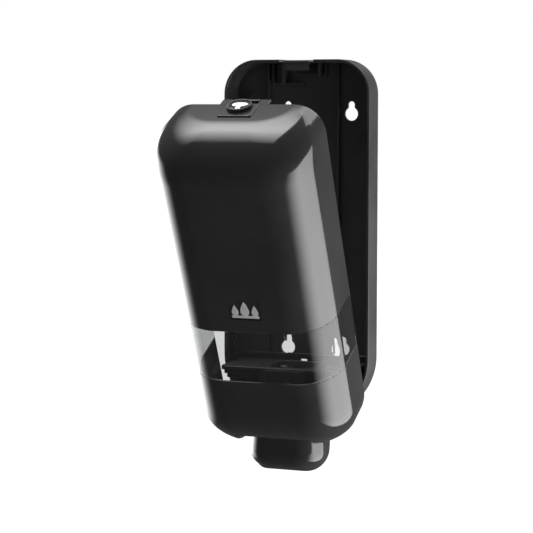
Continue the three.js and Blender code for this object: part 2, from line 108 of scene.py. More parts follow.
PIVOT = Vector(JOINTS["bar_press"]["pos_m"]) / MM
PIVOT_ROD_HALF, PIVOT_ROD_RADIUS = 24.4, 2.0
PIN_MIDDLE, PIN_HALF = (EAR_INNER + 36) / 2, 3.4
POST_X, POST_Y, POST_LOW, POST_HIGH, POST_RADIUS = 13.0, -10.0, -133.0, -95.0, 2.0
YOKE_TOP = -123.0


# ---------------------------------------------------------------- materials
class Shader:
    """A node material with one Principled shader. `new` adds a node and sets its plain inputs."""

    def __init__(self, name):
        self.material = bpy.data.materials.new(name)
        self.material.use_nodes = True
        self.tree = self.material.node_tree
        self.tree.nodes.clear()
        self.out = self.new("ShaderNodeOutputMaterial")
        self.main = self.new("ShaderNodeBsdfPrincipled")
        self.link(self.main, "BSDF", self.out, "Surface")
        self.place = self.new("ShaderNodeTexCoord")

    def new(self, kind, **inputs):
        node = self.tree.nodes.new(kind)
        for name, value in inputs.items():
            node.inputs[name.replace("_", " ")].default_value = value
        return node

    def link(self, source, output, target, socket):
        self.tree.links.new(source.outputs[output], target.inputs[socket])

    def noise(self, scale, detail=2.0, roughness=0.5):
        node = self.new("ShaderNodeTexNoise", Scale=scale, Detail=detail, Roughness=roughness)
        self.link(self.place, "Object", node, "Vector")
        return node

    def ramp(self, source, output, low, high, start=0.0, end=1.0):
        """Maps a value to the range from low to high."""
        node = self.new("ShaderNodeMapRange")
        node.inputs["From Min"].default_value = start
        node.inputs["From Max"].default_value = end
        node.inputs["To Min"].default_value = low
        node.inputs["To Max"].default_value = high
        self.link(source, output, node, "Value")
        return node

    def colours(self, source, output, low, high, start=0.3, end=0.7):
        node = self.new("ShaderNodeValToRGB")
        node.color_ramp.elements[0].position = start
        node.color_ramp.elements[0].color = (*low, 1)
        node.color_ramp.elements[1].position = end
        node.color_ramp.elements[1].color = (*high, 1)
        self.link(source, output, node, "Fac")
        return node

    def bump(self, source, output, strength, distance, below=None):
        node = self.new("ShaderNodeBump", Strength=strength, Distance=distance)
        self.link(source, output, node, "Height")
        if below:
            self.link(below, "Normal", node, "Normal")
        return node


def grey(value):
    return (value, value, value * 1.01)


def moulded_plastic(name, base, rough, spread, pit_depth, grain_depth):
    """Injection moulded black plastic: faint flow marks in colour and gloss, long waves and fine grain."""
    s = Shader(name)
    flow = s.noise(22, 3, 0.55)
    speck = s.noise(900, 2, 0.6)
    grain = s.noise(2600, 1, 0.5)
    waves = s.noise(14, 1, 0.4)
    tint = s.colours(flow, "Fac", grey(base * 0.82), grey(base * 1.18))
    s.link(tint, "Color", s.main, "Base Color")
    gloss = s.ramp(flow, "Fac", rough - spread, rough + spread, 0.3, 0.7)
    s.link(gloss, "Result", s.main, "Roughness")
    long_wave = s.bump(waves, "Fac", pit_depth, 0.0004)
    fine = s.bump(speck, "Fac", grain_depth, 0.00004, long_wave)
    finest = s.bump(grain, "Fac", grain_depth, 0.00002, fine)
    s.link(finest, "Normal", s.main, "Normal")
    s.main.inputs["IOR"].default_value = 1.5
    return s.material


def clear_plastic(name):
    """Clear moulded window, faintly smoky, with gloss that varies a little over the moulding."""
    s = Shader(name)
    s.main.inputs["IOR"].default_value = 1.49
    s.main.inputs["Transmission Weight"].default_value = 1.0
    haze = s.noise(30, 3, 0.5)
    s.link(s.colours(haze, "Fac", (0.665, 0.67, 0.675), (0.695, 0.70, 0.705)), "Color", s.main, "Base Color")
    s.link(s.ramp(haze, "Fac", 0.01, 0.03, 0.3, 0.7), "Result", s.main, "Roughness")
    s.link(s.bump(s.noise(18, 1, 0.4), "Fac", 0.02, 0.0003), "Normal", s.main, "Normal")
    return s.material


def steel(name):
    """Bright drawn steel with fine scratches."""
    s = Shader(name)
    s.main.inputs["Metallic"].default_value = 1.0
    cloud = s.noise(60, 3, 0.6)
    scratch = s.noise(700, 4, 0.7)
    s.link(s.colours(cloud, "Fac", (0.42, 0.43, 0.45), (0.62, 0.63, 0.65)), "Color", s.main, "Base Color")
    s.link(s.ramp(scratch, "Fac", 0.22, 0.42, 0.3, 0.7), "Result", s.main, "Roughness")
    s.link(s.bump(scratch, "Fac", 0.15, 0.00003), "Normal", s.main, "Normal")
    return s.material


def printed(name, colour, rough):
    """Tampo print: slightly uneven ink with a matt surface."""
    s = Shader(name)
    mottle = s.noise(350, 3, 0.6)
    dark = tuple(c * 0.9 for c in colour)
    s.link(s.colours(mottle, "Fac", dark, colour), "Color", s.main, "Base Color")
    s.link(s.ramp(mottle, "Fac", rough - 0.06, rough + 0.06, 0.3, 0.7), "Result", s.main, "Roughness")
    s.link(s.bump(mottle, "Fac", 0.2, 0.00003), "Normal", s.main, "Normal")
    return s.material


MATERIALS = {
    "gloss_black": moulded_plastic("gloss black plastic", 0.031, 0.10, 0.015, 0.02, 0.02),
    "satin_black": moulded_plastic("satin black plastic", 0.044, 0.30, 0.05, 0.04, 0.10),
    "clear_window": clear_plastic("clear window plastic"),
    "steel": steel("zinc plated steel"),
    "grey_print": printed("grey print", (0.8, 0.8, 0.81), 0.5),
    "white_insert": printed("white key insert", (0.86, 0.86, 0.85), 0.4),
}
MATERIALS["studio_floor"] = printed("studio floor", (0.9, 0.9, 0.9), 0.8)
FLOOR_GLOW = MATERIALS["studio_floor"].node_tree.nodes["Principled BSDF"]
FLOOR_GLOW.inputs["Emission Color"].default_value = (1, 1, 1, 1)
FLOOR_GLOW.inputs["Emission Strength"].default_value = 1.0


# ---------------------------------------------------------------- places
def body_of(node):
    return next(body for body, members in BODIES.items() if node in members)


def tip_matrix():
    """Turns a point of the shut cover to where the open cover holds it, in metres."""
    to_hinge = Matrix.Translation(Vector((0, HINGE.y, HINGE.z)) * MM)
    return to_hinge @ Matrix.Rotation(OPEN, 4, "X") @ to_hinge.inverted()


# ---------------------------------------------------------------- outlines
def spread(start, end, steps):
    return [start + (end - start) * i / steps for i in range(steps + 1)]


def arc(x, y, radius, start, end, steps=12):
    """Points on a circle, from one angle to the other in degrees."""
    angles = [math.radians(a) for a in spread(start, end, steps)]
    return [(x + radius * math.cos(a), y + radius * math.sin(a)) for a in angles]


def rounded_panel(x0, x1, y0, y1, low_radius, high_radius, steps=12):
    """Rectangle with one corner radius on its low side and one on its high side, anticlockwise."""
    return (arc(x1 - high_radius, y1 - high_radius, high_radius, 0, 90, steps)
            + arc(x0 + high_radius, y1 - high_radius, high_radius, 90, 180, steps)
            + arc(x0 + low_radius, y0 + low_radius, low_radius, 180, 270, steps)
            + arc(x1 - low_radius, y0 + low_radius, low_radius, 270, 360, steps))


def keyhole(x, z, head=5.0, slot=2.5, rise=6.7):
    """Round screw head hole with a narrower slot above it."""
    meet = math.degrees(math.acos(slot / head))
    return arc(x, z, head, 180 - meet, 360 + meet, 40) + arc(x, z + rise, slot, 0, 180, 16)


# ---------------------------------------------------------------- solids, each a list of points and faces
class Solid:
    """Points in millimetres and the faces between them. Solids add up into one piece."""

    def __init__(self):
        self.points = []
        self.faces = []

    def add(self, points, faces):
        base = len(self.points)
        self.points += [Vector(p) for p in points]
        self.faces += [[base + i for i in face] for face in faces]
        return self

    def grid(self, rows, closed=False):
        """Quads between rows of points. A closed grid joins each row's last point to its first."""
        count = len(rows[0])
        reach = count if closed else count - 1
        faces = []
        for r in range(len(rows) - 1):
            for c in range(reach):
                n = (c + 1) % count
                faces.append([r * count + c, r * count + n, (r + 1) * count + n, (r + 1) * count + c])
        return self.add([p for row in rows for p in row], faces)

    def lid(self, row):
        return self.add(row, [list(range(len(row)))])

    def tube(self, rows):
        """A closed skin through closed rows, with a lid on both ends."""
        return self.grid(rows, closed=True).lid(rows[0]).lid(rows[-1])

    def mesh(self, name):
        data = bpy.data.meshes.new(name)
        data.from_pydata([p * MM for p in self.points], [], self.faces)
        work = bmesh.new()
        work.from_mesh(data)
        bmesh.ops.remove_doubles(work, verts=work.verts, dist=0.000004)
        bmesh.ops.dissolve_degenerate(work, edges=work.edges, dist=0.000004)
        bmesh.ops.recalc_face_normals(work, faces=work.faces)
        work.to_mesh(data)
        work.free()
        return data


# Which way an outline's two coordinates and its sweep run in the row frame.
LEVEL = (Vector((1, 0, 0)), Vector((0, 1, 0)), Vector((0, 0, 1)))
FRONTAL = (Vector((1, 0, 0)), Vector((0, 0, 1)), Vector((0, -1, 0)))
SIDEWAYS = (Vector((0, 1, 0)), Vector((0, 0, 1)), Vector((1, 0, 0)))


def inset_outline(outline, amount):
    """Moves each corner of an outline inwards by the amount, which is small against its edges."""
    count = len(outline)
    turn = sum(a[0] * b[1] - b[0] * a[1] for a, b in zip(outline, outline[1:] + outline[:1]))
    side = 1 if turn > 0 else -1
    moved = []
    for i in range(count):
        before, here, after = Vector(outline[i - 1]), Vector(outline[i]), Vector(outline[(i + 1) % count])
        one, two = (here - before).normalized(), (after - here).normalized()
        bisector = Vector((-one.y - two.y, one.x + two.x))
        if bisector.length < 1e-6:
            bisector = Vector((-one.y, one.x))
        bisector.normalize()
        lean = max(bisector.dot(Vector((-one.y, one.x))), 0.4)
        moved.append(tuple(here + bisector * (side * amount / lean)))
    return moved


def prism(outline, start, end, basis, edge=0.3, steps=3):
    """An outline swept from start to end with rounded edges at both ends."""
    across, up, along = basis
    rows = []
    ends = [(start, 1), (end, -1)] if start < end else [(start, -1), (end, 1)]
    for (place, side), order in zip(ends, (1, -1)):
        for a in spread(0, 90, steps)[::order]:
            angle = math.radians(a)
            inset = inset_outline(outline, edge * (1 - math.sin(angle)))
            level = place + side * edge * (1 - math.cos(angle))
            rows.append([across * p[0] + up * p[1] + along * level for p in inset])
    return Solid().tube(rows)


def holed_plate(outline, holes, back, front, basis, edge=0.3):
    """A flat plate with holes, made as a filled curve, with rounded edges all round."""
    across, up, along = basis
    curve = bpy.data.curves.new("plate", "CURVE")
    curve.dimensions = "2D"
    curve.fill_mode = "BOTH"
    curve.extrude = (abs(front - back) / 2 - edge) * MM
    curve.bevel_depth = edge * MM
    curve.bevel_resolution = 2
    curve.offset = -edge * MM
    for path, turn in [(outline, 1)] + [(hole, -1) for hole in holes]:
        spline = curve.splines.new("POLY")
        spline.points.add(len(path) - 1)
        for point, (a, b) in zip(spline.points, path[::turn]):
            point.co = (a * MM, b * MM, 0, 1)
        spline.use_cyclic_u = True
    holder = bpy.data.objects.new("plate", curve)
    bpy.context.scene.collection.objects.link(holder)
    bpy.context.view_layer.update()
    flat = holder.to_mesh()
    middle = (back + front) / 2
    points = [across * (v.co.x / MM) + up * (v.co.y / MM) + along * (middle + v.co.z / MM)
              for v in flat.vertices]
    faces = [list(p.vertices) for p in flat.polygons]
    holder.to_mesh_clear()
    bpy.data.objects.remove(holder)
    return Solid().add(points, faces)


def block(x0, x1, y0, y1, z0, z1, edge=0.3, radius=0.5):
    """A moulded block: upright corners rounded by the radius, top and bottom edges by the edge size."""
    low = min(radius, (x1 - x0) * 0.49, (y1 - y0) * 0.49)
    return prism(rounded_panel(x0, x1, y0, y1, low, low, 4), z0, z1, LEVEL, min(edge, (z1 - z0) * 0.45))


def mirrored(x0, x1, *rest, **more):
    """The same block on the left and on the right."""
    return [block(x0, x1, *rest, **more), block(-x1, -x0, *rest, **more)]


def lathe(profile, centre, axis, sides=64):
    """A profile of (radius, height) turned about an axis. It starts and ends on the axis, or closes."""
    axis = Vector(axis).normalized()
    across = axis.orthogonal().normalized()
    other = axis.cross(across)
    rows = []
    for radius, height in profile:
        rows.append([Vector(centre) + axis * height
                     + (across * math.cos(a) + other * math.sin(a)) * max(radius, 0.001)
                     for a in spread(0, 2 * math.pi, sides)[:-1]])
    return Solid().grid(rows, closed=True)


def pin(radius, start, end, edge=0.3, sides=48):
    """A round pin with turned-off ends."""
    start, end = Vector(start), Vector(end)
    length = (end - start).length
    low = [(radius - edge + edge * math.sin(a), edge - edge * math.cos(a)) for a in spread(0, math.pi / 2, 3)]
    high = [(r, length - h) for r, h in low[::-1]]
    return lathe([(0, 0)] + low + high + [(0, length)], start, end - start, sides)


def total(*solids):
    whole = Solid()
    for part in solids:
        for item in part if isinstance(part, list) else [part]:
            whole.add(item.points, item.faces)
    return whole


# ---------------------------------------------------------------- hooded shells: cover, window and push bar
LIP_STEPS = 8


def rounding(rise, past, reach=None):
    """How far a rounded edge has drawn in, `past` the place where its quarter ellipse starts."""
    reach = rise if reach is None else reach
    return reach * (1 - math.sqrt(max(1 - (past / rise) ** 2, 0))) if past > 0 else 0.0


def cover_front(z):
    return FRONT_BOTTOM + (FRONT_TOP - FRONT_BOTTOM) * (z - COVER_BOTTOM) / (COVER_TOP - COVER_BOTTOM)


def cover_section(z, inset):
    """Half width, front, rear and corner radius of the shut cover's level outline."""
    top, bottom = COVER_TOP - inset, COVER_BOTTOM + inset
    half = HALF - inset
    half -= rounding(TOP_RADIUS - inset, z - top + TOP_RADIUS - inset)
    half -= rounding(BOTTOM_RADIUS - inset, bottom + BOTTOM_RADIUS - inset - z)
    front = cover_front(z) + inset
    front += rounding(TOP_FRONT - inset, z - top + TOP_FRONT - inset)
    front += rounding(BOTTOM_FRONT - inset, bottom + BOTTOM_FRONT - inset - z)
    return half, front, COVER_REAR, min(PLAN_RADIUS - inset, half * 0.9, (COVER_REAR - front) * 0.9)


def hood_path(section, trim, steps):
    """Level outline from the right rear corner round the front to the left rear corner."""
    half, front, rear, radius = section
    rear -= trim
    sides = [(half, rear + (front + radius - rear) * share) for share in (0, 0.5)]
    return (sides + arc(half - radius, front + radius, radius, 0, -90, steps)
            + arc(radius - half, front + radius, radius, -90, -180, steps)
            + [(-x, y) for x, y in sides[::-1]])


def lip(outer, inner, depth):
    """Squarish rounded edge from the outer wall's rear corner to the inner wall's, bulging to the rear."""
    points = []
    for a in spread(0, math.pi, LIP_STEPS)[1:-1]:
        across = math.copysign(abs(math.cos(a)) ** 0.5, math.cos(a))
        back = math.sin(a) ** 0.5
        points.append((outer + inner) / 2 + (outer - inner) / 2 * across + Vector((0, depth * back, 0)))
    return points


def hooded_shell(levels, section, wall, steps=28, lid_below=False, lid_above=False):
    """Shell open towards the wall. Each level is (outer z, outer inset, inner z, inner inset)."""
    trim = wall / 2
    shell = Solid()
    rows, outers, inners, lips = [], [], [], []
    for z_out, inset_out, z_in, inset_in in levels:
        outer = [Vector((x, y, z_out)) for x, y in hood_path(section(z_out, inset_out), trim, steps)]
        inner = [Vector((x, y, z_in)) for x, y in hood_path(section(z_in, inset_in), trim, steps)]
        left, right = lip(outer[-1], inner[-1], trim), lip(outer[0], inner[0], trim)
        rows.append(outer + left + inner[::-1] + right[::-1])
        outers.append(outer)
        inners.append(inner)
        lips.append((left, right))
    shell.grid(rows, closed=True)
    for end, has_lid in ((0, lid_below), (-1, lid_above)):
        outer, inner, (left, right) = outers[end], inners[end], lips[end]
        if has_lid:
            shell.lid(outer).lid(inner)
            shell.grid([[outer[-1]] + left + [inner[-1]], [outer[0]] + right + [inner[0]]])
        else:
            shell.grid([outer, inner])
            shell.lid([outer[-1]] + left + [inner[-1]])
            shell.lid([outer[0]] + right + [inner[0]])
    return shell


def seam(z, side, wall, edge=0.15):
    """Levels that round the edge of a wall at a seam. Side is 1 where the wall goes up from it."""
    levels = []
    for a in (0, 30, 60, 90):
        angle = math.radians(a)
        inset = edge * (1 - math.sin(angle))
        height = z + side * edge * (1 - math.cos(angle))
        levels.append((height, inset, height, wall - inset))
    return levels


def straight(z0, z1, wall, steps):
    return [(z, 0, z, wall) for z in spread(z0, z1, steps)]


def closed_end(limit, side, radius, wall, steps=36):
    """Levels of a rounded end that closes at `limit`; side is 1 at the top and -1 at the bottom."""
    levels = []
    for a in spread(90, 0, steps):
        drop = 1 - math.cos(math.radians(a))
        levels.append((limit - side * radius * drop, 0, limit - side * (wall + (radius - wall) * drop), wall))
    return levels


def carve(mesh, cutters, edge=0.0):
    """Cuts solids out of a mesh, then rounds the sharp edges."""
    body = bpy.data.objects.new("work", mesh)
    bpy.context.scene.collection.objects.link(body)
    tools = []
    for i, cutter in enumerate(cutters):
        tool = bpy.data.objects.new(f"tool {i}", cutter.mesh("tool"))
        bpy.context.scene.collection.objects.link(tool)
        tools.append(tool)
        cut = body.modifiers.new("cut", "BOOLEAN")
        cut.operation = "DIFFERENCE"
        cut.solver = "EXACT"
        cut.object = tool
    if edge:
        bevel = body.modifiers.new("edge", "BEVEL")
        bevel.width = edge * MM
        bevel.segments = 3
        bevel.limit_method = "ANGLE"
        bevel.angle_limit = math.radians(30)
        bevel.use_clamp_overlap = False
    bpy.context.view_layer.update()
    done = bpy.data.meshes.new_from_object(body.evaluated_get(bpy.context.evaluated_depsgraph_get()))
    for thing in tools + [body]:
        bpy.data.objects.remove(thing)
    return done


def together(*meshes):
    """One mesh from several."""
    work = bmesh.new()
    for mesh in meshes:
        work.from_mesh(mesh)
    whole = bpy.data.meshes.new("whole")
    work.to_mesh(whole)
    work.free()
    return whole


def finish_piece(name, mesh, node, tipped=False, smooth_angle=32.0):
    """The finished piece: it stands for the CAD node, rides on its body and takes its finish."""
    if tipped:
        mesh.transform(tip_matrix())
    mesh.materials.clear()
    mesh.materials.append(MATERIALS[SLOTS[node]])
    for polygon in mesh.polygons:
        polygon.material_index = 0
    mesh.shade_smooth()
    mesh.set_sharp_from_angle(angle=math.radians(smooth_angle))
    piece = bpy.data.objects.new(name, mesh)
    bpy.context.scene.collection.objects.link(piece)
    weight = piece.modifiers.new("normals", "WEIGHTED_NORMAL")
    weight.keep_sharp = True
    weight.weight = 60
    bpy.context.view_layer.update()
    final = bpy.data.meshes.new_from_object(piece.evaluated_get(bpy.context.evaluated_depsgraph_get()))
    piece.modifiers.clear()
    piece.data = final
    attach(piece, body_of(node))
    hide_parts(node)
    return piece


# ---------------------------------------------------------------- cover
def cover_shell():
    low = BAND_TOP + TOUCH
    levels = seam(low, 1, WALL) + straight(low + 1, COVER_TOP - TOP_FRONT - 1, WALL, 6)
    levels += closed_end(COVER_TOP, 1, TOP_FRONT, WALL)
    shell = hooded_shell(levels, cover_section, WALL, lid_above=True)
    pocket_front = cover_front(0)
    lock_hole = pin(RING_RADIUS + GAP, (0, LOCK_Y, 120), (0, LOCK_Y, 140), sides=96)
    pocket = prism(rounded_panel(-11.5, 11.5, -6.4, 9.4, 1.5, 1.5), -pocket_front - 0.7, -pocket_front + 6,
                   FRONTAL, edge=0)
    mesh = carve(shell.mesh("shell"), [lock_hole, pocket])
    plate = holed_plate(rounded_panel(-12, 12, -42.6, -23.4, 1.2, 1.2, 5),
                        [arc(0, LOCK_Y, RING_RADIUS + 0.15, 0, 360, 72)[:-1]],
                        COVER_TOP - 0.6, COVER_TOP + 0.9, LEVEL, edge=0.35)
    boss_profile = [(0, 0), (2.4, 0), (2.6, 0.2), (2.6, 4.6), (0, 4.6)]
    bosses = [lathe(boss_profile, (x, BOSS_Y, COVER_TOP - 6), (0, 0, 1), 32) for x in (-BOSS_X, BOSS_X)]
    tongues = mirrored(9.6, 17.5, COVER_REAR - 1.2, -14, COVER_TOP - 2.2, COVER_TOP - 0.4,
                       edge=0.5, radius=1.2)
    extras = total(plate, bosses, tongues).mesh("extras")
    finish_piece("cover_shell_skin", together(mesh, extras), "cover_shell", tipped=True)


def window_band():
    low, high = BAND_BOTTOM + TOUCH, BAND_TOP - TOUCH
    levels = seam(low, 1, WALL) + straight(low + 1, high - 1, WALL, 3) + seam(high, -1, WALL)[::-1]
    shell = hooded_shell(levels, cover_section, WALL)
    finish_piece("window_skin", shell.mesh("window"), "window_band", tipped=True)


def cover_chin():
    high = BAND_BOTTOM - TOUCH
    levels = closed_end(COVER_BOTTOM, -1, BOTTOM_FRONT, WALL, steps=44)[::-1]
    levels += straight(COVER_BOTTOM + BOTTOM_FRONT + 1, high - 1, WALL, 3) + seam(high, -1, WALL)[::-1]
    shell = hooded_shell(levels, cover_section, WALL, lid_below=True)
    foot = block(-CHIN_GAP_HALF, CHIN_GAP_HALF, LIP_Y, 20, -145, -100, edge=0.01, radius=3)
    mesh = carve(shell.mesh("chin"), [foot])
    arm = [(HINGE.y, HINGE.z + EAR_RADIUS), (-26, HINGE.z + EAR_RADIUS), (-34, -120), (-32, -127.2),
           (COVER_REAR - 0.1, -127.2), (HINGE.y, HINGE.z - EAR_RADIUS)]
    eye = arc(HINGE.y, HINGE.z, EAR_RADIUS, 0, 360, 48)[:-1]
    ears = []
    for x0 in (-EAR_OUTER, EAR_INNER):
        x1 = x0 + EAR_OUTER - EAR_INNER
        ears.append(prism(arm[::-1], x0, x1, SIDEWAYS, edge=0.4))
        ears.append(prism(eye, x0 - 0.02, x1 + 0.02, SIDEWAYS, edge=0.5))
    web = [(-26, -114), (-60, -114), (-56, -119), (-46, -124.5), (-34, -127.6), (-26, -127.6)]
    webs = [prism(web, x0 + 0.2, x0 + 3.2, SIDEWAYS, edge=0.3) for x0 in (-EAR_OUTER, EAR_INNER)]
    extras = total(ears, webs).mesh("extras")
    finish_piece("cover_chin_skin", together(mesh, extras), "cover_chin", tipped=True)


def drop(x, z, r):
    """Outline of a falling drop: a half circle below and two curves up to a point."""
    side = []
    for t in spread(0, 1, 12)[1:]:
        out = (1 - t) ** 2 * r + 2 * t * (1 - t) * r
        rise = 2 * t * (1 - t) * 0.9 * r + t * t * 2.5 * r
        side.append((out, rise))
    right = [(x + a, z + b) for a, b in side]
    left = [(x - a, z + b) for a, b in side[-2::-1]]
    return right + left + arc(x, z, r, 180, 360, 20)[:-1]


def badge():
    front = -cover_front(0)
    bar = rounded_panel(-10, 10, -5, -2.9, 1, 1, 6)
    shapes = [drop(0, 0, 3.2), drop(-7.2, -0.8, 2.4), drop(7.2, -0.8, 2.4), bar]
    parts = [prism(shape, front - 0.45, front - 0.05, FRONTAL, edge=0.12) for shape in shapes]
    finish_piece("badge_print", total(*parts).mesh("badge"), "badge", tipped=True)


# ---------------------------------------------------------------- lock and latch
def rounded_profile(points, edge, steps=3):
    """Rounds each inner corner of a lathe profile."""
    result = [points[0]]
    for before, here, after in zip(points, points[1:], points[2:]):
        here = Vector(here)
        one, two = Vector(before) - here, Vector(after) - here
        size = min(edge, one.length * 0.45, two.length * 0.45)
        start, end = here + one.normalized() * size, here + two.normalized() * size
        for t in spread(0, 1, steps):
            result.append(tuple(start * (1 - t) ** 2 + here * 2 * t * (1 - t) + end * t * t))
    return result + [points[-1]]


def lock_ring():
    bore = BARREL_RADIUS + GAP
    profile = [(bore, 2), (bore, 0), (RING_RADIUS, 0), (RING_RADIUS, 5), (8.3, 5.8), (bore + 0.4, 5.8),
               (bore, 5.4), (bore, 2)]
    ring = lathe(rounded_profile(profile, 0.35), (0, LOCK_Y, COVER_TOP - WALL), (0, 0, 1), 96)
    finish_piece("lock_ring_fine", ring.mesh("ring"), "lock_ring", tipped=True)


def lock_barrel():
    profile = [(0, 0), (BARREL_RADIUS, 0), (BARREL_RADIUS, 8.9), (BARREL_RADIUS - 0.6, 8.9),
               (BARREL_RADIUS - 0.7, 7.7), (0, 7.7)]
    barrel = lathe(rounded_profile(profile, 0.25), (0, LOCK_Y, 122.3), (0, 0, 1), 80)
    finish_piece("lock_barrel_fine", barrel.mesh("barrel"), "lock_barrel", tipped=True)


def key_insert():
    base = COVER_TOP + 1.6
    oval = [(5.8 * math.cos(a), LOCK_Y + 1.4 + 3.4 * math.sin(a)) for a in spread(0, 2 * math.pi, 56)[:-1]]
    stem = [(-1.6, LOCK_Y), (-1.9, LOCK_Y - 5.4), (1.9, LOCK_Y - 5.4), (1.6, LOCK_Y)]
    parts = total(prism(oval, base, base + 0.9, LEVEL, 0.2), prism(stem, base, base + 0.88, LEVEL, 0.2))
    finish_piece("key_insert_fine", parts.mesh("insert"), "key_insert", tipped=True)


def lock_housing():
    roof = COVER_TOP - WALL - GAP - 0.1
    rear = COVER_REAR - GAP
    body = block(-15, 15, -43.5, rear, 108, roof, edge=0.01, radius=1.2)
    channel = block(-7.4, 7.4, -41.5, -15, 110, 122, edge=0.01, radius=0.2)
    bore = pin(BARREL_RADIUS + GAP, (0, LOCK_Y, 118), (0, LOCK_Y, 130), sides=64)
    rooms = [pin(2.9, (x, BOSS_Y, 122), (x, BOSS_Y, 130), sides=32) for x in (-BOSS_X, BOSS_X)]
    mesh = carve(body.mesh("housing"), [channel, bore] + rooms, edge=0.35)
    finish_piece("lock_housing_fine", mesh, "lock_housing", tipped=True)


def latch():
    hook = [(-15.5, 118), (-12.5, 118), (-12.5, 126), (-13.5, 127.8), (-15.5, 127.8)]
    parts = total(block(-7, 7, -41, -12.6, 118, 121.5, edge=0.4, radius=0.8),
                  prism(hook, -CATCH_HALF, CATCH_HALF, SIDEWAYS, edge=0.4),
                  pin(2, (0, LOCK_Y, 116.6), (0, LOCK_Y, 119)))
    finish_piece("latch_fine", parts.mesh("latch"), "latch_slide", tipped=True)


def cross_screw(name, node, base, direction, shank_radius, length, head_radius, head_height, tipped=False):
    """Pan head screw with a cross recess. Base is the middle of the head's underside; it points outwards."""
    out = Vector(direction).normalized()
    dome = [(head_radius, 0), (head_radius, head_height * 0.35)]
    for a in spread(0, 90, 8)[1:]:
        angle = math.radians(a)
        dome.append((head_radius * math.cos(angle), head_height * (0.35 + 0.65 * math.sin(angle))))
    head = lathe([(0, 0)] + dome, base, out, 48)
    side = out.orthogonal().normalized()
    other = out.cross(side)
    reach, half = head_radius * 0.62, head_radius * 0.13
    recess = [(-reach, -half), (reach, -half), (reach, half), (-reach, half)]
    floor, mouth = Vector(base) + out * (head_height * 0.35), Vector(base) + out * (head_height * 1.2)
    arms = []
    for one, two in ((side, other), (other, side)):
        tip = [floor + one * a * 0.55 + two * b * 0.7 for a, b in recess]
        top = [mouth + one * a + two * b for a, b in recess]
        arms.append(Solid().tube([tip, top]))
    mesh = carve(head.mesh("head"), arms)
    thread = []
    turns = int(length / 0.7)
    for i in range(turns * 4 + 1):
        radius = shank_radius * (1.0 if i % 4 in (1, 2) else 0.86)
        thread.append((radius, -length * (i + 1) / (turns * 4 + 2)))
    shank = lathe([(0, 0.1), (shank_radius * 0.86, 0)] + thread + [(0, -length)], base, out, 24)
    finish_piece(name, together(mesh, shank.mesh("shank")), node, tipped=tipped)


def spring(name, node, radius, wire, low, high, turns, x, y, tipped=False):
    """Compression spring with its wire swept along the helix and both ends closed up."""
    steps, sides = turns * 40, 12
    rows = []
    for i in range(steps + 1):
        t = i / steps
        angle = t * turns * 2 * math.pi
        outward = Vector((math.cos(angle), math.sin(angle), 0))
        centre = Vector((x, y, low + wire + (high - low - 2 * wire) * t)) + outward * radius
        rows.append([centre + outward * (wire * math.cos(a)) + Vector((0, 0, wire * math.sin(a)))
                     for a in spread(0, 2 * math.pi, sides)[:-1]])
    return finish_piece(name, Solid().tube(rows).mesh("spring"), node, tipped=tipped, smooth_angle=60)


# ---------------------------------------------------------------- wall unit
def rim_path(inset, steps=16):
    """The plate's outline from the right of the foot opening, over the top, to the left of it."""
    half, top, bottom = HALF - inset, PLATE_TOP - inset, -PLATE_TOP + inset
    low, high = PLATE_BOTTOM_RADIUS - inset, PLATE_TOP_RADIUS - inset
    start = math.degrees(math.acos((FOOT_HALF - half + low) / low))
    right = arc(half - low, bottom + low, low, -start, 0, steps)
    crown = arc(half - high, top - high, high, 0, 90, steps)
    notch = [(NOTCH_HALF + 0.4, top), (NOTCH_HALF, top)]
    row = right + [(half, z) for z in spread(bottom + low, top - high, 6)[1:-1]] + crown + notch
    return row + [(-x, z) for x, z in row[::-1]]


def rim():
    """The plate's rim: a stepped edge with a thin outer lip, swept round the outline."""
    lip_inset, step = 1.3, 1.5
    front = -RIM_DEPTH
    ledge = front + step
    profile = [(0.5, -0.1), (0.15, -0.2), (0, -0.5), (0, front + 0.5), (0.15, front + 0.15),
               (0.45, front), (0.95, front), (1.2, front + 0.15), (lip_inset, front + 0.4),
               (lip_inset, ledge - 0.2), (lip_inset + 0.15, ledge), (WALL - 0.4, ledge),
               (WALL - 0.1, ledge + 0.15), (WALL, ledge + 0.4), (WALL, -WALL - 1.2),
               (WALL + 0.25, -WALL - 0.45), (WALL + 0.9, -WALL - 0.05), (WALL + 1.4, -WALL + 0.2),
               (WALL + 1.4, -0.3)]
    solid = Solid()
    rows = []
    for inset, y in profile:
        row = []
        drop = NOTCH_DEPTH * max(1 - inset / WALL, 0)
        for x, z in rim_path(inset):
            in_notch = abs(x) <= NOTCH_HALF + 0.01 and z > 0 and y < -6.5
            row.append(Vector((x, y, z - drop if in_notch else z)))
        rows.append(row)
    solid.grid(rows + rows[:1])
    for column in (0, -1):
        solid.lid([row[column] for row in rows])
    return solid


